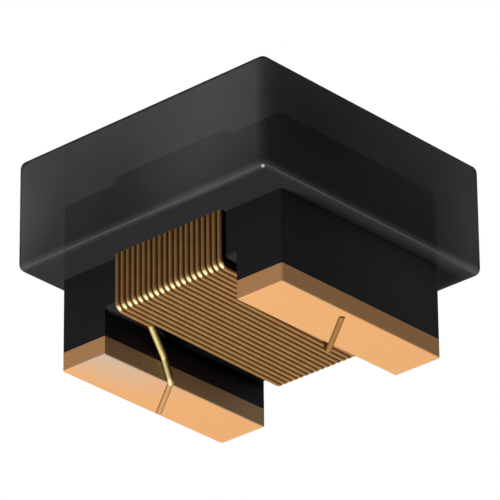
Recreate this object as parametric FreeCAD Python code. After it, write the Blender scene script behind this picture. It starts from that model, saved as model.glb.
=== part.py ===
"""Shielded SMD inductor: a ferrite bridge core with one wire wound in a single layer on its crossbar,
a metal terminal on the underside of each foot, and a moulded cap round its upper half.

Millimetres. X runs along the crossbar from foot to foot, Y across it, and Z up from the board. The
origin is in the middle of the part, at its lowest face, which is the underside of the wire's ends.
"""
import FreeCAD, Part
import math
import os

V = FreeCAD.Vector
X_AXIS = V(1, 0, 0)
Y_AXIS = V(0, 1, 0)
Z_AXIS = V(0, 0, 1)

# Core: one moulded and fired piece, a crossbar with a foot under each end
core_length = 3.33
core_width = 2.66
bar_height = 1.54
bar_clearance = 0.57         # from the terminals' underside up to the crossbar
foot_gap = 2.00              # between the feet's inner faces
core_edge_radius = 0.03      # the core's outer upright edges and the edges of its top
bar_edge_radius = 0.04       # the crossbar's four long edges, which the wire bends over
foot_root_radius = 0.03      # where a foot's inner face meets the crossbar

# Terminals: a thin metal cup on the lower end of each foot, flush with the foot's sides
terminal_band = 0.23         # height of the cup
terminal_base = 0.08         # thickness under the foot
terminal_wall = 0.03         # thickness beside the foot
terminal_edge_radius = 0.015

# Cap: the moulded block that shields the winding from above and from the sides
cap_length = 3.80
cap_width = 3.72
cap_height = 1.41
cap_stand_off = 1.145        # from the terminals' underside up to the cap's
cap_edge_radius = 0.10
cap_film = 0.010             # varnish between the turns and the cap

# Winding: one enamelled wire, one layer of turns with the step to the next turn under the crossbar
wire_diameter = 0.078        # over the enamel
wire_sides = 12              # flats of its section, two of them level with the crossbar
bend_step = 22.5             # degrees that the flats turn at once in a bend
turn_gap = 0.0037            # between neighbouring turns
left_margin = 0.207          # from the left foot to the first turn
right_margin = 0.150         # least distance from the last turn to the right foot
run_slack = 0.055            # between the crossbar's underside and the runs that cross it
lead_proud = 0.022           # how far the wire's ends stand out of the terminals

# Left end of the wire: off the first turn, down the foot's inner face, and across the terminal
left_leave_y = -0.835        # where it leaves the first run
left_elbow_y = -0.397        # where it reaches the foot's inner face
left_elbow_rise = 0.267      # height of that elbow above the terminal's underside
left_foot_y = -0.290         # where it turns under the foot
left_end_y = 0.210
left_end_margin = 0.046      # from the core's end face
left_bend_radii = (0.10, 0.10, 0.075)

# Right end of the wire: straight down from the last turn, then under the foot and across the terminal
right_leave_y = 0.290
right_reach = 0.147          # how far inside the foot's inner face it comes down
right_foot_y = 0.336
right_end_y = -0.229
right_end_margin = 0.100
right_bend_radii = (0.06, 0.06)

# Heights and half widths that follow from the sizes above
pad_z = lead_proud
bar_z = pad_z + bar_clearance
core_top = bar_z + bar_height
cap_z = pad_z + cap_stand_off
cap_top = cap_z + cap_height
foot_x = foot_gap / 2
core_x = core_length / 2
core_y = core_width / 2
wire_radius = wire_diameter / 2
wire_corner_radius = wire_radius / math.cos(math.pi / wire_sides)
turn_pitch = wire_diameter + turn_gap
winding_room = foot_gap - left_margin - right_margin - wire_diameter
turns = 1 + int(winding_room / turn_pitch)
first_turn_x = -foot_x + left_margin + wire_radius
last_turn_x = first_turn_x + (turns - 1) * turn_pitch


def block(x0, x1, y0, y1, z0, z1):
    return Part.makeBox(x1 - x0, y1 - y0, z1 - z0, V(x0, y0, z0))


def is_along(edge, axis):
    """Whether an edge is a straight line along the given axis."""
    if not isinstance(edge.Curve, Part.Line):
        return False
    return abs(abs(edge.tangentAt(edge.FirstParameter).dot(axis)) - 1) < 1e-6


def edges_where(shape, axis, test):
    """The straight edges along an axis whose middle passes the test."""
    return [e for e in shape.Edges if is_along(e, axis) and test(e.CenterOfMass)]


def near(a, b):
    return abs(a - b) < 1e-4


def make_core():
    """The bridge, with its feet reduced at the lower end by the thickness of the terminals."""
    side = [
        V(-core_x, 0, pad_z), V(-foot_x, 0, pad_z), V(-foot_x, 0, bar_z), V(foot_x, 0, bar_z),
        V(foot_x, 0, pad_z), V(core_x, 0, pad_z), V(core_x, 0, core_top), V(-core_x, 0, core_top),
    ]
    face = Part.Face(Part.makePolygon(side + side[:1]))
    face.translate(V(0, -core_y, 0))
    core = face.extrude(V(0, core_width, 0))

    roots = edges_where(core, Y_AXIS, lambda c: near(abs(c.x), foot_x) and near(c.z, bar_z))
    core = core.makeFillet(foot_root_radius, roots)
    uprights = edges_where(core, Z_AXIS, lambda c: near(abs(c.x), core_x))
    core = core.makeFillet(core_edge_radius, uprights)
    for y_side in (-1, 1):
        core = core.cut(bar_edge_waste(y_side, -1, bar_z, foot_x))
        core = core.cut(bar_edge_waste(y_side, 1, core_top, core_x))
    rim = edges_where(core, Y_AXIS, lambda c: near(abs(c.x), core_x) and near(c.z, core_top))
    core = core.makeFillet(core_edge_radius, rim)

    for x_side in (-1, 1):
        core = core.cut(foot_cup(x_side))
    return core


def bar_edge_waste(y_side, z_side, edge_z, half_length):
    """What rounding takes off one long edge of the crossbar: a square bar less a round one."""
    r = bar_edge_radius
    inner_y = y_side * (core_y - r)
    inner_z = edge_z - z_side * r
    y0, y1 = sorted((inner_y, y_side * (core_y + r)))
    z0, z1 = sorted((inner_z, edge_z + z_side * r))
    square = block(-half_length, half_length, y0, y1, z0, z1)
    rod = Part.makeCylinder(r, 2 * half_length, V(-half_length, inner_y, inner_z), X_AXIS)
    return square.cut(rod)


def foot_outline(x_side, inset, z0, z1):
    """The foot's own upright prism, smaller all round by the inset, with the core's rounded edges."""
    x0, x1 = sorted((x_side * (foot_x + inset), x_side * (core_x - inset)))
    prism = block(x0, x1, -core_y + inset, core_y - inset, z0, z1)
    outer = edges_where(prism, Z_AXIS, lambda c: near(abs(c.x), core_x - inset))
    radius = max(core_edge_radius - inset, core_edge_radius / 4)
    return prism.makeFillet(radius, outer)


def foot_cup(x_side):
    """The cup that a terminal fills: base under the foot, wall round it, flush with its sides."""
    outside = foot_outline(x_side, 0, pad_z, pad_z + terminal_band)
    stub = foot_outline(x_side, terminal_wall, pad_z + terminal_base, pad_z + terminal_band)
    return outside.cut(stub)


def make_terminal(x_side, winding):
    cup = foot_cup(x_side)
    base_rim = [e for e in cup.Edges if near(e.BoundBox.ZMax, pad_z)]
    cup = cup.makeFillet(terminal_edge_radius, base_rim)
    return cup.cut(winding)


def make_cap():
    """The moulded block, with the hollow that the core and its winding fill."""
    half_x = cap_length / 2
    half_y = cap_width / 2
    cap = block(-half_x, half_x, -half_y, half_y, cap_z, cap_top)
    cap = cap.makeFillet(cap_edge_radius, cap.Edges)
    return cap.cut(core_outside()).cut(winding_envelope())


def core_outside():
    """The core's upper half as the cap was moulded round it."""
    body = block(-core_x, core_x, -core_y, core_y, cap_z - cap_height, core_top)
    body = body.makeFillet(core_edge_radius, edges_where(body, Z_AXIS, lambda c: True))
    for y_side in (-1, 1):
        body = body.cut(bar_edge_waste(y_side, 1, core_top, core_x))
    rim = edges_where(body, Y_AXIS, lambda c: near(abs(c.x), core_x) and near(c.z, core_top))
    return body.makeFillet(core_edge_radius, rim)


def winding_envelope():
    """The space of the turns inside the cap: the crossbar's section made larger by one wire."""
    grow = wire_diameter + cap_film
    x0 = first_turn_x - wire_radius - cap_film
    x1 = last_turn_x + wire_radius + cap_film
    space = block(x0, x1, -core_y - grow, core_y + grow, cap_z - cap_height, core_top + grow)
    upper = edges_where(space, X_AXIS, lambda c: near(c.z, core_top + grow))
    return space.makeFillet(bar_edge_radius + grow, upper)


def section(centre, direction, level):
    """The wire's many-sided section square to its direction, with flats towards and across level."""
    across = direction.cross(level).normalize()
    points = []
    for i in range(wire_sides):
        angle = 2 * math.pi * (i + 0.5) / wire_sides
        offset = level * math.cos(angle) + across * math.sin(angle)
        points.append(centre + offset * wire_corner_radius)
    return points


def flat_face(points):
    return Part.Face(Part.makePolygon(points + points[:1]))


def strips(first, second):
    """The flat or slightly twisted sides of a straight stretch between two sections."""
    faces = []
    for i in range(len(first)):
        j = (i + 1) % len(first)
        quad = [first[i], first[j], second[j], second[i]]
        normal = (quad[1] - quad[0]).cross(quad[3] - quad[0]).normalize()
        if abs(normal.dot(quad[2] - quad[0])) < 1e-7:
            faces.append(flat_face(quad))
        else:
            near_edge = Part.makeLine(first[i], first[j])
            far_edge = Part.makeLine(second[i], second[j])
            faces.append(Part.makeRuledSurface(near_edge, far_edge))
    return faces


def slid_to(points, direction, plane_point, plane_normal):
    """The section moved along a direction, each corner up to a plane."""
    scale = 1 / direction.dot(plane_normal)
    return [p + direction * ((plane_point - p).dot(plane_normal) * scale) for p in points]


def run_to(points, direction, plane_point, plane_normal):
    """A straight stretch along a direction, up to a plane."""
    moved = slid_to(points, direction, plane_point, plane_normal)
    return strips(points, moved), moved


def rounded(corners, radii):
    """A path with each inner corner as short equal steps that touch the arc of its bend."""
    path = corners[:1]
    for before, corner, after, radius in zip(corners, corners[1:], corners[2:], radii):
        d_in = (corner - before).normalize()
        d_out = (after - corner).normalize()
        angle = d_in.getAngle(d_out)
        axis = d_in.cross(d_out).normalize()
        steps = math.ceil(math.degrees(angle) / bend_step - 1e-6)
        reach = radius * math.tan(angle / steps / 2)
        point = corner - d_in * (radius * math.tan(angle / 2) - reach)
        path.append(point)
        for k in range(1, steps):
            turn = FreeCAD.Rotation(axis, math.degrees(angle) * k / steps)
            point = point + turn.multVec(d_in) * (2 * reach)
            path.append(point)
    return path + corners[-1:]


def follow(points, path):
    """The wire from a section at the path's start to its end, mitred at every corner between."""
    faces = []
    for i in range(1, len(path)):
        d_in = (path[i] - path[i - 1]).normalize()
        d_out = (path[i + 1] - path[i]).normalize() if i + 1 < len(path) else d_in
        new, points = run_to(points, d_in, path[i], d_in + d_out)
        faces += new
    return faces, points


def matched(points, others):
    """The second section's corners in the order that twists the stretch between them least."""
    shift = sum(points, V()) * (1 / len(points)) - sum(others, V()) * (1 / len(others))
    best = None
    for order in (others, others[::-1]):
        for k in range(len(order)):
            candidate = order[k:] + order[:k]
            miss = sum((a - b - shift).Length for a, b in zip(points, candidate))
            if best is None or miss < best[0]:
                best = (miss, candidate)
    return best[1]


def lead(points, begin, corners, radii, end_normal):
    """One end of the wire, from its section under the crossbar to its cut face on the terminal.

    corners[0] is where it leaves the crossbar. The middle of the stretch after it takes up the twist
    between the flats of the turns and those that lie level on the terminal."""
    leave = corners[0]
    down = corners[1] - leave
    twist_from = leave + down * 0.35
    twist_to = leave + down * 0.65
    upper, upper_points = follow(points, rounded([begin, leave, twist_from], radii[:1]))

    end = corners[-1]
    inward = (corners[-2] - end).normalize()
    cut_points = slid_to(section(end, inward, Z_AXIS), inward, end, end_normal)
    way_up = [end] + corners[-2:0:-1] + [twist_to]
    lower, lower_points = follow(cut_points, rounded(way_up, radii[:0:-1]))
    middle = strips(upper_points, matched(upper_points, lower_points))
    return upper + middle + lower + [flat_face(cut_points)]


def partial_run(points, corners, radii, end_normal):
    """The stretch under the crossbar up to where the wire leaves it, and the lead that follows."""
    leave = corners[0]
    centre = sum(points, V()) * (1 / len(points))
    along = Y_AXIS if leave.y > centre.y else -Y_AXIS
    down = (corners[1] - leave).normalize()
    begin = leave - along * (1.5 * radii[0] * math.tan(along.getAngle(down) / 2))
    new, points = run_to(points, begin - centre, begin, Y_AXIS)
    return new + lead(points, begin, corners, radii, end_normal)


def make_winding():
    """The whole wire as one solid: left end, turns, right end."""
    side_y = core_y + wire_radius
    low_z = bar_z - run_slack - wire_radius
    high_z = core_top + wire_radius
    radius = bar_edge_radius + wire_radius
    run_y = side_y - radius
    slant = turn_pitch / (2 * run_y)
    faces = []

    left_leave = V(first_turn_x - slant * (run_y + left_leave_y), left_leave_y, low_z)
    left_foot = V(-foot_x + wire_corner_radius, left_foot_y, wire_radius)
    left_elbow = V(left_foot.x, left_elbow_y, pad_z + left_elbow_rise)
    left_end = V(-core_x + left_end_margin, left_end_y, wire_radius)
    left_corners = [left_leave, left_elbow, left_foot, left_end]
    points = section(V(first_turn_x, -run_y, low_z), Y_AXIS, Z_AXIS)
    faces += partial_run(points, left_corners, left_bend_radii, X_AXIS)

    for i in range(turns):
        x = first_turn_x + i * turn_pitch
        loop = [
            V(x, -run_y, low_z), V(x, -side_y, low_z), V(x, -side_y, high_z),
            V(x, side_y, high_z), V(x, side_y, low_z), V(x, run_y, low_z),
        ]
        points = section(loop[0], Y_AXIS, Z_AXIS)
        new, points = follow(points, rounded(loop, [radius] * 4))
        faces += new
        if i < turns - 1:
            faces += run_to(points, V(slant, -1, 0), V(0, -run_y, 0), Y_AXIS)[0]

    right_leave = V(last_turn_x + slant * (run_y - right_leave_y), right_leave_y, low_z)
    right_foot = V(foot_x - right_reach, right_foot_y, wire_radius)
    right_end = V(core_x - right_end_margin, right_end_y, wire_radius)
    right_corners = [right_leave, right_foot, right_end]
    faces += partial_run(points, right_corners, right_bend_radii, (right_end - right_foot).normalize())

    shell = Part.Shell(faces)
    shell.sewShape()
    wire = Part.Solid(shell)
    if wire.Volume < 0:
        wire.reverse()
    return wire


os.makedirs("parts", exist_ok=True)
winding = make_winding()
nodes = {
    "core": make_core(),
    "winding": winding,
    "terminal_left": make_terminal(-1, winding),
    "terminal_right": make_terminal(1, winding),
    "cap": make_cap(),
}
for name, shape in nodes.items():
    shape.exportStep("parts/" + name + ".step")
    print(name, "valid", shape.isValid(), "solids", len(shape.Solids), "volume", round(shape.Volume, 5))
print("turns", turns, "overall height", round(cap_top, 3))
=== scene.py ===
"""Looks of a shielded SMD inductor, seen from below and from the side as it hangs over a pale floor.

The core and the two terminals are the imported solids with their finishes. The wire and the moulded cap
are modelled here round them. Pieces are modelled in millimetres and then brought to metres.
"""
import math

import bmesh
import bpy
from mathutils import Matrix, Vector


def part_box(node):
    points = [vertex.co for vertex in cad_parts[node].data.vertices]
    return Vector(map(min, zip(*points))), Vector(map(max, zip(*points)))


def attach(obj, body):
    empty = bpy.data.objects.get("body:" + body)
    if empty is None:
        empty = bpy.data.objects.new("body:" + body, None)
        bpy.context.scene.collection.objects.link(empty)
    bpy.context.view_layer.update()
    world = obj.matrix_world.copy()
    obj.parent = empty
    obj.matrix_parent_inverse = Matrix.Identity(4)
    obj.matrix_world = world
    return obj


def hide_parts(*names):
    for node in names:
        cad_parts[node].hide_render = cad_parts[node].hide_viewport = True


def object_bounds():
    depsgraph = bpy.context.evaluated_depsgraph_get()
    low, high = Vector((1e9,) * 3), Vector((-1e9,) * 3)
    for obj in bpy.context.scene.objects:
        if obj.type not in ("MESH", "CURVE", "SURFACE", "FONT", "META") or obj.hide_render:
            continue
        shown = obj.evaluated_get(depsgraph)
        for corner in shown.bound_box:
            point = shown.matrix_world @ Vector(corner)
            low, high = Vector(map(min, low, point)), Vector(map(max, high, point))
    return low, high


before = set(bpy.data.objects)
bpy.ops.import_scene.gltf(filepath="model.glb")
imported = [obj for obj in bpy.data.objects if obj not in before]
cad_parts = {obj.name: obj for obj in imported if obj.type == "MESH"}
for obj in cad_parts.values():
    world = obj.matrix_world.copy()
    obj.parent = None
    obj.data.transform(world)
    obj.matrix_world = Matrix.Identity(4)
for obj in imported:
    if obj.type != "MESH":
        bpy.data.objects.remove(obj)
cad_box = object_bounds()

MM = 0.001

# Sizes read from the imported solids, in millimetres
core_x, core_y, core_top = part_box("core")[1] / MM
cap_low, cap_high = (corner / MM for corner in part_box("cap"))
pad_low, pad_high = (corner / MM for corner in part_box("terminal_left"))
foot_x = -pad_high.x         # the feet's inner faces
pad_z = pad_low.z
wire_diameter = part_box("winding")[1].y / MM - core_y
wire_radius = wire_diameter / 2

# Wire: its turns on the crossbar, in millimetres
turns = 20
turn_pitch = 0.0817
bar_clearance = 0.57         # from the terminals' underside up to the crossbar
bar_edge_radius = 0.04
left_margin = 0.207          # from the left foot to the first turn
run_slack = 0.055            # between the crossbar's underside and the runs that cross it
bar_z = pad_z + bar_clearance
first_turn_x = -foot_x + left_margin + wire_radius
last_turn_x = first_turn_x + (turns - 1) * turn_pitch
bend_radius = bar_edge_radius + wire_radius
run_y = core_y - bar_edge_radius
low_z = bar_z - run_slack - wire_radius
high_z = core_top + wire_radius
run_slant = turn_pitch / (2 * run_y)

# Wire's ends: where each leaves the crossbar, bends and is cut
left_leave_y = -0.835
left_leave = Vector((first_turn_x - run_slant * (run_y + left_leave_y), left_leave_y, low_z))
left_elbow = Vector((-foot_x + wire_radius, -0.397, pad_z + 0.267))
left_foot = Vector((-foot_x + wire_radius, -0.290, wire_radius))
left_end = Vector((-core_x + 0.046, 0.210, wire_radius))
left_bend_radii = (0.05, 0.10, 0.06)
right_leave_y = 0.290
right_leave = Vector((last_turn_x + run_slant * (run_y - right_leave_y), right_leave_y, low_z))
right_foot = Vector((foot_x - 0.147, 0.336, wire_radius))
right_end = Vector((core_x - 0.100, -0.229, wire_radius))
right_bend_radii = (0.06, 0.06)

# Cap and what it was moulded round, in millimetres
cap_edge_radius = 0.10
core_edge_radius = 0.03
film = 0.001                 # between the resin's inner skin and the core
wire_room = film * 5         # between the resin's inner skin and the turns

# How finely the round forms are divided
wire_sides = 24
bend_steps = 8
cap_edge_steps = 10

# Sizes of the patterns in the finishes, in millimetres. Fired powder, sheared metal and scratches are
# finer in the real part, and are drawn as coarse as they need to be to show.
ferrite_grain = 0.03
metal_grain = 0.02
shear_grain = 0.02
scratch_width = 0.03
enamel_cloud = 0.15
resin_cloud = 1.5
resin_grain = 0.1
unfading = 40                # reach of a patch along an axis on which it doesn't fade


# Modelling

def only(piece):
    """Selects one object and nothing else."""
    bpy.ops.object.select_all(action="DESELECT")
    piece.select_set(True)
    bpy.context.view_layer.objects.active = piece


def to_metres(piece):
    """Brings a piece modelled in millimetres to its real size, with its object at the origin."""
    only(piece)
    piece.scale = (MM, MM, MM)
    bpy.ops.object.transform_apply(location=True, rotation=True, scale=True)


def apply_modifiers(piece):
    only(piece)
    for modifier in list(piece.modifiers):
        bpy.ops.object.modifier_apply(modifier=modifier.name)


def run(step):
    """Draws the selected section of wire out along a straight line."""
    bpy.ops.mesh.extrude_region_move(TRANSFORM_OT_translate={"value": tuple(step)})


def bend(centre, axis, angle):
    """Turns the selected section of wire about a centre, right-handed, which is a negative spin."""
    bpy.ops.mesh.spin(steps=bend_steps, angle=-angle, center=tuple(centre), axis=tuple(axis))


def select_end(piece, is_end):
    """Selects the open end of the wire whose middle passes the test."""
    bpy.ops.mesh.select_all(action="DESELECT")
    mesh = bmesh.from_edit_mesh(piece.data)
    for edge in mesh.edges:
        if edge.is_boundary and is_end((edge.verts[0].co + edge.verts[1].co) / 2):
            edge.select_set(True)
    bmesh.update_edit_mesh(piece.data)


def lead(start, corners, radii):
    """Draws the selected end of the wire through its corners, rounded to their radii, and closes it."""
    place = start
    for corner, after, radius in zip(corners, corners[1:], radii):
        way_in = (corner - place).normalized()
        way_out = (after - corner).normalized()
        angle = way_in.angle(way_out)
        reach = radius * math.tan(angle / 2)
        inward = (way_out - way_in * way_in.dot(way_out)).normalized()
        bend_start = corner - way_in * reach
        run(bend_start - place)
        bend(bend_start + inward * radius, way_in.cross(way_out), angle)
        place = corner + way_out * reach
    run(corners[-1] - place)
    bpy.ops.mesh.edge_face_add()


def make_wire():
    """One turn is bent from a round section, repeated along the crossbar, and given its two ends."""
    bpy.ops.object.select_all(action="DESELECT")
    bpy.ops.mesh.primitive_circle_add(
        vertices=wire_sides, radius=wire_radius,
        location=(first_turn_x, -run_y, low_z), rotation=(math.pi / 2, 0, 0),
    )
    wire = bpy.context.object
    wire.name = "winding_wire"
    bpy.ops.object.transform_apply(location=True, rotation=True, scale=True)

    lower_z = low_z + bend_radius
    upper_z = high_z - bend_radius
    bend_axis = (-1, 0, 0)
    quarter = math.pi / 2
    bpy.ops.object.mode_set(mode="EDIT")
    bpy.ops.mesh.select_mode(type="EDGE")
    bpy.ops.mesh.select_all(action="SELECT")
    bend((first_turn_x, -run_y, lower_z), bend_axis, quarter)
    run((0, 0, upper_z - lower_z))
    bend((first_turn_x, -run_y, upper_z), bend_axis, quarter)
    run((0, 2 * run_y, 0))
    bend((first_turn_x, run_y, upper_z), bend_axis, quarter)
    run((0, 0, lower_z - upper_z))
    bend((first_turn_x, run_y, lower_z), bend_axis, quarter)
    run((turn_pitch, -2 * run_y, 0))
    bpy.ops.object.mode_set(mode="OBJECT")

    row = wire.modifiers.new("turns", "ARRAY")
    row.count = turns
    row.use_relative_offset = False
    row.use_constant_offset = True
    row.constant_offset_displace = (turn_pitch, 0, 0)
    row.use_merge_vertices = True
    row.merge_threshold = wire_radius / 50
    apply_modifiers(wire)

    # The last run is drawn back along its slant, to a little before the bend where it goes down
    bpy.ops.object.mode_set(mode="EDIT")
    select_end(wire, lambda place: place.x > last_turn_x + wire_radius)
    last_run_end = Vector((last_turn_x + turn_pitch, -run_y, low_z))
    before_bend = right_bend_radii[0] * 1.5
    right_begin = right_leave + Vector((-run_slant, 1, 0)) * before_bend
    bpy.ops.transform.translate(value=tuple(right_begin - last_run_end))
    lead(right_begin, [right_leave, right_foot, right_end], right_bend_radii)
    select_end(wire, lambda place: place.x < first_turn_x + wire_radius * 2)
    first_run_end = Vector((first_turn_x, -run_y, low_z))
    lead(first_run_end, [left_leave, left_elbow, left_foot, left_end], left_bend_radii)
    bpy.ops.mesh.select_all(action="SELECT")
    bpy.ops.mesh.normals_make_consistent(inside=False)
    bpy.ops.object.mode_set(mode="OBJECT")
    bpy.ops.object.shade_smooth_by_angle(angle=math.radians(40))
    to_metres(wire)
    return wire


def make_block(name, low, high):
    """A block between two corners."""
    bpy.ops.object.select_all(action="DESELECT")
    bpy.ops.mesh.primitive_cube_add(size=1, location=(low + high) / 2)
    piece = bpy.context.object
    piece.name = name
    piece.dimensions = high - low
    bpy.ops.object.transform_apply(location=True, rotation=True, scale=True)
    return piece


def round_edges(piece, radius, steps):
    rounding = piece.modifiers.new("rounding", "BEVEL")
    rounding.width = radius
    rounding.segments = steps
    rounding.limit_method = "ANGLE"
    rounding.use_clamp_overlap = False
    apply_modifiers(piece)


def make_cap():
    """The moulded block with every edge rounded, hollowed by what it was moulded round."""
    cap = make_block("moulded_cap", cap_low, cap_high)
    round_edges(cap, cap_edge_radius, cap_edge_steps)
    below = cap_low.z - cap_edge_radius
    core_space = make_block(
        "core_space",
        Vector((-core_x - film, -core_y - film, below)),
        Vector((core_x + film, core_y + film, core_top + film)),
    )
    round_edges(core_space, core_edge_radius, 2)
    grow = wire_diameter + wire_room
    wire_space = make_block(
        "wire_space",
        Vector((first_turn_x - wire_radius - wire_room, -core_y - grow, below)),
        Vector((last_turn_x + wire_radius + wire_room, core_y + grow, core_top + grow)),
    )
    round_edges(wire_space, bar_edge_radius + grow, 4)
    for space in (core_space, wire_space):
        cut = cap.modifiers.new("hollow", "BOOLEAN")
        cut.operation = "DIFFERENCE"
        cut.object = space
        cut.solver = "EXACT"
        apply_modifiers(cap)
        bpy.data.objects.remove(space)
    only(cap)
    bpy.ops.object.shade_smooth_by_angle(angle=math.radians(30))
    to_metres(cap)
    return cap


# Materials
#
# Each finish starts from what the real material is. Its lighter and darker places are painted to follow
# the photograph's tones. Many of them are painted light and shade, and are called so below; where the
# cause of a tone is not known, only its place is given.

def linear(hex_text):
    """A colour written in sRGB hex, as linear values."""
    parts = [int(hex_text[i:i + 2], 16) / 255 for i in (1, 3, 5)]
    return [p / 12.92 if p <= 0.04045 else ((p + 0.055) / 1.055) ** 2.4 for p in parts] + [1]


def add(tree, kind, inputs=None, **settings):
    """Adds a node with its settings.

    An input has its name or number, and takes a value or a link. A node stands for its first output."""
    made = tree.nodes.new(kind)
    for name, value in settings.items():
        setattr(made, name, value)
    for name, value in (inputs or {}).items():
        if isinstance(value, bpy.types.Node):
            value = value.outputs[0]
        if isinstance(value, bpy.types.NodeSocket):
            tree.links.new(value, made.inputs[name])
        else:
            made.inputs[name].default_value = value
    return made


def new_material(name):
    """An empty material and the place on the object in millimetres."""
    material = bpy.data.materials.new(name)
    material.use_nodes = True
    tree = material.node_tree
    tree.nodes.clear()
    place = add(tree, "ShaderNodeTexCoord").outputs["Object"]
    in_mm = add(tree, "ShaderNodeMapping", {"Vector": place, "Scale": (1 / MM, 1 / MM, 1 / MM)})
    return material, tree, in_mm


def two_tone(tree, factor, dark, light, low=0.3, high=0.7):
    """A colour that goes from dark to light as the factor goes from low to high."""
    level = add(tree, "ShaderNodeMapRange", {"Value": factor, "From Min": low, "From Max": high})
    return add(tree, "ShaderNodeMixRGB", {"Fac": level, "Color1": linear(dark), "Color2": linear(light)})


def patch(tree, place, centre, reach):
    """One at the centre and fading to nothing at the reach, in millimetres along x, y and z."""
    scale = [1 / r for r in reach]
    moved = add(tree, "ShaderNodeMapping", {
        "Vector": place, "Scale": scale, "Location": [-c * k for c, k in zip(centre, scale)],
    })
    ball = add(tree, "ShaderNodeTexGradient", {"Vector": moved}, gradient_type="SPHERICAL")
    return ball.outputs["Fac"]


def normal_along(tree, axis):
    """How far the surface faces along an axis, from -1 to 1."""
    facing = add(tree, "ShaderNodeNewGeometry").outputs["Normal"]
    return add(tree, "ShaderNodeSeparateXYZ", {"Vector": facing}).outputs[axis]


def turn_distance(tree, place):
    """How far a point lies from the middle of its turn: 0 on the crown, 1 in the groove."""
    axes = add(tree, "ShaderNodeSeparateXYZ", {"Vector": place})
    along = add(tree, "ShaderNodeMapRange", {
        "Value": axes.outputs["X"], "From Min": first_turn_x, "From Max": last_turn_x,
        "To Max": turns - 1,
    }, clamp=False)
    slanted = add(tree, "ShaderNodeMapRange", {
        "Value": axes.outputs["Y"], "From Min": run_y, "From Max": -run_y, "To Max": -1,
    })
    bends_end = bar_z + 0.2
    under = add(tree, "ShaderNodeMath", {0: axes.outputs["Z"], 1: bends_end}, operation="LESS_THAN")
    shift = add(tree, "ShaderNodeMath", {0: slanted, 1: under}, operation="MULTIPLY")
    count = add(tree, "ShaderNodeMath", {0: along, 1: shift}, operation="ADD")
    away = add(tree, "ShaderNodeMath", {0: count, 1: 0.5}, operation="PINGPONG")
    return add(tree, "ShaderNodeMapRange", {"Value": away, "From Max": 0.5})


def fired_ferrite():
    """Fired ferrite: matt, nearly black, with the fine grain of pressed powder.

    Painted light makes its right-hand face paler towards the far end, and painted shade blackens the
    crossbar's underside beside the first turn."""
    material, tree, place = new_material("fired_ferrite")
    grain = add(tree, "ShaderNodeTexNoise", {"Vector": place, "Scale": 1 / ferrite_grain, "Detail": 4})
    tone = two_tone(tree, grain, "#2C2C30", "#323236")
    # painted light: the right-hand face is paler towards its far end
    right_face_light = add(tree, "ShaderNodeMixRGB", {
        "Fac": patch(tree, place, (core_x, 0.9, 0.8), (0.2, 1.7, 1.6)),
        "Color1": tone, "Color2": linear("#46464C"),
    })
    # painted shade: the crossbar's underside is blackened beside the first turn
    recess_shade_patch = patch(tree, place, (-foot_x + 0.08, 0.6, bar_z), (0.3, 2.0, 0.15))
    recess_shade_level = add(tree, "ShaderNodeMapRange", {"Value": recess_shade_patch, "From Min": 0.1, "From Max": 0.5})
    with_recess_shade = add(tree, "ShaderNodeMixRGB", {
        "Fac": recess_shade_level, "Color1": right_face_light, "Color2": linear("#0E0E10"),
    })
    bump = add(tree, "ShaderNodeBump", {"Height": grain, "Strength": 0.15, "Distance": 0.003 * MM})
    shader = add(tree, "ShaderNodeBsdfPrincipled", {
        "Base Color": with_recess_shade, "Roughness": 0.5, "Specular IOR Level": 0.014, "Normal": bump,
    })
    add(tree, "ShaderNodeOutputMaterial", {"Surface": shader})
    return material


def enamelled_turns():
    """Copper wire under clear amber enamel: brown-gold, with painted shade in the grooves between the
    turns.

    Painted highlights lie on its bends round the crossbar's lower edges, where it is also made more
    metallic."""
    material, tree, place = new_material("enamelled_turns")
    cloud = add(tree, "ShaderNodeTexNoise", {"Vector": place, "Scale": 1 / enamel_cloud, "Detail": 3})
    tone = two_tone(tree, cloud, "#A97C4A", "#B78855")
    # painted highlights on the bends round the crossbar's lower edges
    bend_y = run_y + 0.081
    bend_z = low_z - 0.008
    bend_highlight_patches = [
        add(tree, "ShaderNodeMapRange", {
            "Value": patch(tree, place, (0, side * bend_y, bend_z), (unfading, 0.07, 0.07)),
            "From Min": 0.36, "From Max": 0.75,
        })
        for side in (-1, 1)
    ]
    bend_highlight = add(tree, "ShaderNodeMath", {0: bend_highlight_patches[0], 1: bend_highlight_patches[1]}, operation="MAXIMUM")
    with_bend_highlight = add(tree, "ShaderNodeMixRGB", {"Fac": bend_highlight, "Color1": tone, "Color2": linear("#F8DA98")})
    # painted shade in the grooves between the turns
    groove_shade = add(tree, "ShaderNodeMapRange", {
        "Value": turn_distance(tree, place), "From Min": 0.25, "From Max": 0.95,
    })
    with_groove_shade = add(tree, "ShaderNodeMixRGB", {
        "Fac": groove_shade, "Color1": with_bend_highlight, "Color2": linear("#241405"),
    })
    # more metallic where the painted highlights lie
    highlight_metallic = add(tree, "ShaderNodeMapRange", {"Value": bend_highlight, "To Min": 0.02, "To Max": 0.8})
    shader = add(tree, "ShaderNodeBsdfPrincipled", {
        "Base Color": with_groove_shade, "Metallic": highlight_metallic, "Roughness": 0.32,
        "Specular IOR Level": 0.0, "Coat Weight": 0.03, "Coat Roughness": 0.15,
    })
    add(tree, "ShaderNodeOutputMaterial", {"Surface": shader})
    return material


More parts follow.
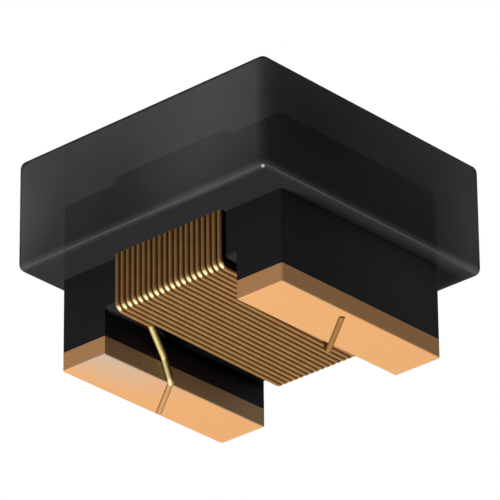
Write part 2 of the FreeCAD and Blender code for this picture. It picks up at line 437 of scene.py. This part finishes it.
def browned_wire(name, dark, light):
    """The same wire in a pad's groove, browned by the weld, with painted shade along its sides."""
    material, tree, place = new_material(name)
    cloud = add(tree, "ShaderNodeTexNoise", {"Vector": place, "Scale": 1 / enamel_cloud, "Detail": 3})
    tone = two_tone(tree, cloud, dark, light)
    # painted shade along the sides
    side = add(tree, "ShaderNodeMapRange", {
        "Value": normal_along(tree, "Z"), "From Min": -0.92, "From Max": -0.5,
    })
    with_side_shade = add(tree, "ShaderNodeMixRGB", {"Fac": side, "Color1": tone, "Color2": linear("#6B4522")})
    shader = add(tree, "ShaderNodeBsdfPrincipled", {
        "Base Color": with_side_shade, "Metallic": 0.05, "Roughness": 0.32, "Specular IOR Level": 0.0,
    })
    add(tree, "ShaderNodeOutputMaterial", {"Surface": shader})
    return material


def sheared_copper():
    """The wire's cut face, dark and rough."""
    material, tree, place = new_material("sheared_copper")
    grain = add(tree, "ShaderNodeTexNoise", {"Vector": place, "Scale": 1 / shear_grain, "Detail": 3})
    tone = two_tone(tree, grain, "#5A3A20", "#6E4A2A")
    shader = add(tree, "ShaderNodeBsdfPrincipled", {
        "Base Color": tone, "Roughness": 0.7, "Specular IOR Level": 0.0,
    })
    add(tree, "ShaderNodeOutputMaterial", {"Surface": shader})
    return material


def stripped_wire():
    """The wire's free end, bare of enamel: pale gold lightened to a painted highlight, with painted
    shade on the side towards the winding.

    Painted shade darkens its upper part a little, and its back."""
    material, tree, place = new_material("stripped_wire")
    marks = add(tree, "ShaderNodeTexNoise", {"Vector": place, "Scale": 1 / scratch_width, "Detail": 3})
    # pale gold of the bare metal, lightened to a painted highlight
    tone = two_tone(tree, marks, "#FBE7A4", "#FFF2B8")
    height = add(tree, "ShaderNodeSeparateXYZ", {"Vector": place}).outputs["Z"]
    # painted shade on the upper part
    upper = add(tree, "ShaderNodeMapRange", {"Value": height, "From Min": 0.22, "From Max": 0.32})
    with_upper_shade = add(tree, "ShaderNodeMixRGB", {"Fac": upper, "Color1": tone, "Color2": linear("#EBD794")})
    towards = normal_along(tree, "X")
    # painted shade on the back
    back = add(tree, "ShaderNodeMapRange", {"Value": towards, "From Min": 0.0, "From Max": -0.6})
    with_back_shade = add(tree, "ShaderNodeMixRGB", {"Fac": back, "Color1": with_upper_shade, "Color2": linear("#97803A")})
    # painted shade on the side towards the winding
    front = add(tree, "ShaderNodeMapRange", {"Value": towards, "From Min": 0.3, "From Max": 0.95})
    shaded = add(tree, "ShaderNodeMixRGB", {"Fac": front, "Color1": with_back_shade, "Color2": linear("#57460F")})
    shader = add(tree, "ShaderNodeBsdfPrincipled", {
        "Base Color": shaded, "Metallic": 0.15, "Roughness": 0.45, "Specular IOR Level": 0.1,
    })
    add(tree, "ShaderNodeOutputMaterial", {"Surface": shader})
    return material


def metallised_copper():
    """Fired-on metal layer: satin, pale copper-gold, with a fine grain.

    A painted reflection lies pale on the left pad, towards its inner near corner. The sides that face
    right carry painted shade, the left terminal's most."""
    material, tree, place = new_material("metallised_copper")
    grain = add(tree, "ShaderNodeTexNoise", {"Vector": place, "Scale": 1 / metal_grain, "Detail": 4})
    tone = two_tone(tree, grain, "#EDB075", "#F1B67B")
    # painted reflection, pale, on the left pad
    pad_reflection = patch(tree, place, (-foot_x, -core_y, pad_z), (0.68, 1.6, 0.06))
    with_pad_reflection = add(tree, "ShaderNodeMixRGB", {"Fac": pad_reflection, "Color1": tone, "Color2": linear("#D4BBA4")})
    # painted shade on the sides that face right, most on the left terminal
    across = add(tree, "ShaderNodeSeparateXYZ", {"Vector": place}).outputs["X"]
    left = add(tree, "ShaderNodeMapRange", {
        "Value": across, "From Min": -foot_x, "From Max": foot_x, "To Min": 1, "To Max": 0.2,
    })
    right_side_shade = add(tree, "ShaderNodeMath", {
        0: left, 1: normal_along(tree, "X"),
    }, operation="MULTIPLY", use_clamp=True)
    with_right_side_shade = add(tree, "ShaderNodeMixRGB", {
        "Fac": right_side_shade, "Color1": with_pad_reflection, "Color2": linear("#B8A07E"),
    })
    bump = add(tree, "ShaderNodeBump", {"Height": grain, "Strength": 0.1, "Distance": 0.002 * MM})
    shader = add(tree, "ShaderNodeBsdfPrincipled", {
        "Base Color": with_right_side_shade, "Metallic": 0.09, "Roughness": 0.7, "Specular IOR Level": 0.01,
        "Normal": bump,
    })
    add(tree, "ShaderNodeOutputMaterial", {"Surface": shader})
    return material


def moulded_resin(name, solidity):
    """Moulded resin filled with magnetic powder: dark, satin, letting a little light through.

    It is lighter towards the top and darkest on the flat underside, with lighter patches in the near
    side's upper part. Painted light brightens the right side's far end, and painted shade darkens its
    near end. Painted highlights run along the lower rounded edges and sit on the near lower corner.
    It lets more light through on the near side."""
    material, tree, place = new_material(name)
    cloud = add(tree, "ShaderNodeTexNoise", {"Vector": place, "Scale": 1 / resin_cloud, "Detail": 2})
    axes = add(tree, "ShaderNodeSeparateXYZ", {"Vector": place})
    # darker towards the bottom
    rise = add(tree, "ShaderNodeMapRange", {
        "Value": axes.outputs["Z"], "From Min": cap_low.z, "From Max": cap_high.z,
    })
    factor = add(tree, "ShaderNodeMixRGB", {"Fac": 0.5, "Color1": cloud, "Color2": rise})
    tone = two_tone(tree, factor, "#404043", "#626266", 0.25, 0.8)
    edge_middle = 0.03       # from the sides and the underside in to the middle of the rounded edge
    for centre, reach, colour in (
        # lighter in the near side's upper part, and painted light at the right side's far end
        ((-2.1, -1.9, 2.0), (1.0, 1.0, 1.0), "#7E7E82"),
        ((1.1, -1.9, 2.3), (1.3, 0.5, 1.5), "#78787C"),
        ((1.9, 2.0, 1.7), (1.0, 1.1, 1.2), "#727276"),
        # painted shade at the right side's near end
        ((1.9, -1.0, 2.0), (0.14, 2.8, 1.8), "#29292C"),
        # painted highlights along the right and the near lower rounded edge
        ((cap_high.x - edge_middle, 0, cap_low.z + edge_middle), (0.04, unfading, 0.013), "#58585C"),
        ((0, cap_low.y + edge_middle, cap_low.z + edge_middle), (unfading, 0.04, 0.013), "#5E5E62"),
    ):
        tone = add(tree, "ShaderNodeMixRGB", {
            "Fac": patch(tree, place, centre, reach), "Color1": tone, "Color2": linear(colour),
        })
    # darkest on the flat underside
    raised = add(tree, "ShaderNodeMapRange", {
        "Value": axes.outputs["Z"], "From Min": cap_low.z + 0.001, "From Max": cap_low.z + 0.02,
    })
    with_dark_underside = add(tree, "ShaderNodeMixRGB", {"Fac": raised, "Color1": linear("#303032"), "Color2": tone})
    # painted highlight on the near lower corner
    corner = patch(tree, place, (1.833, -1.813, cap_low.z + 0.022), (0.027, 0.027, 0.027))
    with_corner_highlight = add(tree, "ShaderNodeMixRGB", {"Fac": corner, "Color1": with_dark_underside, "Color2": linear("#E0E0E4")})
    dense = add(tree, "ShaderNodeMapRange", {
        "Value": axes.outputs["Y"], "From Min": cap_low.y, "From Max": cap_low.y + 0.2,
        "To Min": solidity - 0.1, "To Max": solidity,
    })
    shader = add(tree, "ShaderNodeBsdfPrincipled", {
        "Base Color": with_corner_highlight, "Metallic": 0.04, "Roughness": 0.45, "Specular IOR Level": 0.0,
        "Coat Weight": 0.03, "Coat Roughness": 0.15, "Alpha": dense,
    })
    add(tree, "ShaderNodeOutputMaterial", {"Surface": shader})
    return material


def mould_edge():
    """The cap's upper and outer edges, solid, with painted shade making them dark."""
    material, tree, place = new_material("mould_edge")
    grain = add(tree, "ShaderNodeTexNoise", {"Vector": place, "Scale": 1 / resin_grain, "Detail": 3})
    # painted shade: the edges are dark
    tone = two_tone(tree, grain, "#303033", "#38383B")
    shader = add(tree, "ShaderNodeBsdfPrincipled", {
        "Base Color": tone, "Roughness": 0.6, "Specular IOR Level": 0.0,
    })
    add(tree, "ShaderNodeOutputMaterial", {"Surface": shader})
    return material


def finish_wire(wire):
    """Gives each stretch of the wire its finish."""
    for material in (
        enamelled_turns(),
        browned_wire("right_end", "#A97A46", "#B48450"),
        browned_wire("left_end", "#D2A167", "#DCAC72"),
        stripped_wire(),
        sheared_copper(),
    ):
        wire.data.materials.append(material)
    turned, in_right_pad, in_left_pad, stripped, cut = range(5)
    for face in wire.data.polygons:
        x, y, z = face.center / MM
        on_left_lead = x < first_turn_x - wire_radius and y > left_leave.y
        above_groove = z > wire_radius * 1.3 or x > left_foot.x - 0.05
        if len(face.vertices) > 4:
            face.material_index = cut
        elif on_left_lead and above_groove:
            face.material_index = stripped
        elif z < low_z - wire_radius:
            face.material_index = in_right_pad if x > 0 else in_left_pad
        else:
            face.material_index = turned


def finish_cap(cap):
    """Gives the cap's outside, its skin against the core and the turns, and its edges their finishes."""
    cap.data.materials.clear()
    for material in (
        moulded_resin("moulded_resin", 0.93), moulded_resin("resin_against_core", 0.02), mould_edge(),
    ):
        cap.data.materials.append(material)
    outside, against_core, edge = range(3)
    edge_start = cap_edge_radius * 0.6
    for face in cap.data.polygons:
        x, y, z = face.center / MM
        in_pocket = (
            abs(x) < core_x + film * 2
            and abs(y) < core_y + wire_diameter + wire_room + film
            and cap_low.z + film < z < core_top + wire_diameter + wire_room + film
        )
        on_upper_edge = cap_high.z - edge_start < z < cap_high.z - film and (y < -core_y or x > core_x)
        on_x_round = cap_high.x - edge_start < abs(x) < cap_high.x - film
        on_y_round = cap_high.y - edge_start < abs(y) < cap_high.y - film
        on_left_edge = on_x_round and x < 0 and y < 0
        on_right_edge = on_y_round and x > 0 and y > 0
        if on_upper_edge or on_left_edge or on_right_edge:
            face.material_index = edge
        elif in_pocket:
            face.material_index = against_core
        else:
            face.material_index = outside


# Stage

def add_floor():
    """A pale floor that is seen only from above, so that it hides nothing from a camera below it."""
    bpy.ops.object.select_all(action="DESELECT")
    bpy.ops.mesh.primitive_plane_add(size=2, location=(0, 0, cad_box[0].z))
    floor = bpy.context.object
    floor.name = "floor"
    material, tree, _ = new_material("pale_floor")
    colour = add(tree, "ShaderNodeBsdfDiffuse", {"Color": linear("#E8E8E8")})
    glow = add(tree, "ShaderNodeEmission", {"Color": linear("#FFFFFF"), "Strength": 0.4})
    lit = add(tree, "ShaderNodeAddShader", {0: colour, 1: glow})
    clear = add(tree, "ShaderNodeBsdfTransparent")
    seen = add(tree, "ShaderNodeLightPath").outputs["Is Camera Ray"]
    from_below = add(tree, "ShaderNodeNewGeometry").outputs["Backfacing"]
    from_above = add(tree, "ShaderNodeMath", {
        0: seen, 1: from_below,
    }, operation="SUBTRACT", use_clamp=True)
    shown = add(tree, "ShaderNodeMixShader", {"Fac": from_above, 1: clear, 2: lit})
    add(tree, "ShaderNodeOutputMaterial", {"Surface": shown})
    floor.data.materials.append(material)


def set_world():
    """White where it is seen, mirrored or seen through something, and a weak plain light elsewhere."""
    world = bpy.data.worlds.new("studio")
    bpy.context.scene.world = world
    world.use_nodes = True
    tree = world.node_tree
    tree.nodes.clear()
    rays = add(tree, "ShaderNodeLightPath").outputs
    mirrored = add(tree, "ShaderNodeMath", {
        0: rays["Is Camera Ray"], 1: rays["Is Glossy Ray"],
    }, operation="MAXIMUM")
    seen = add(tree, "ShaderNodeMath", {
        0: mirrored, 1: rays["Is Transmission Ray"],
    }, operation="MAXIMUM")
    ambient = add(tree, "ShaderNodeBackground", {"Color": linear("#FFFFFF"), "Strength": 0.06})
    white = add(tree, "ShaderNodeBackground", {"Color": linear("#FFFFFF"), "Strength": 1})
    both = add(tree, "ShaderNodeMixShader", {"Fac": seen, 1: ambient, 2: white})
    add(tree, "ShaderNodeOutputWorld", {"Surface": both})


def direction(azimuth, elevation):
    """Unit vector towards a place: azimuth 0 is -Y and 90 is +X."""
    a, e = math.radians(azimuth), math.radians(elevation)
    return Vector((math.sin(a) * math.cos(e), -math.cos(a) * math.cos(e), math.sin(e)))


def add_lamp(name, azimuth, elevation, distance, size, level):
    """A square soft lamp aimed at the part. A white surface that faces it renders at the level."""
    data = bpy.data.lights.new(name, "AREA")
    data.shape = "SQUARE"
    data.size = size * MM
    data.energy = level * math.pi ** 2 * (distance * MM) ** 2
    lamp = bpy.data.objects.new(name, data)
    bpy.context.scene.collection.objects.link(lamp)
    towards = direction(azimuth, elevation)
    middle = (cad_box[0] + cad_box[1]) / 2
    lamp.location = middle + towards * distance * MM
    lamp.rotation_euler = towards.to_track_quat("Z", "Y").to_euler()
    lamp.visible_camera = False


def add_camera():
    """The camera of the photograph: below the part, towards the corner between its near sides."""
    azimuth, elevation, roll = 41.964, -26.996, -0.572
    distance = 55.888
    lens, sensor = 354.3, 36
    target = Vector((0, 0, 1.322))
    aim_right, aim_up = -0.0001, 0.1354
    back = direction(azimuth, elevation)
    level = direction(azimuth + 90, 0)
    upright = back.cross(level)
    c, s = math.cos(math.radians(roll)), math.sin(math.radians(roll))
    right = level * c + upright * s
    up = upright * c - level * s
    data = bpy.data.cameras.new("camera")
    data.lens = lens
    data.sensor_width = sensor
    data.clip_start = MM
    data.clip_end = 10
    camera = bpy.data.objects.new("camera", data)
    bpy.context.scene.collection.objects.link(camera)
    placed = Matrix((right, up, back)).transposed().to_4x4()
    placed.translation = (target + back * distance + right * aim_right + up * aim_up) * MM
    camera.matrix_world = placed
    bpy.context.scene.camera = camera


# The part

ferrite = fired_ferrite()
metal = metallised_copper()
for name, material in (("core", ferrite), ("terminal_left", metal), ("terminal_right", metal)):
    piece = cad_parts[name]
    piece.data.materials.clear()
    piece.data.materials.append(material)

wire = make_wire()
finish_wire(wire)
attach(wire, "root")
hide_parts("winding")

cap = make_cap()
finish_cap(cap)
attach(cap, "root")
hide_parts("cap")

add_floor()
set_world()
add_lamp("key", azimuth=-4, elevation=-71, distance=60, size=9, level=0.93)
add_lamp("right", azimuth=106, elevation=0, distance=60, size=20, level=0.105)
add_lamp("back_top", azimuth=-140, elevation=45, distance=60, size=30, level=0.8)
add_camera()
bpy.context.scene.view_settings.view_transform = "Standard"
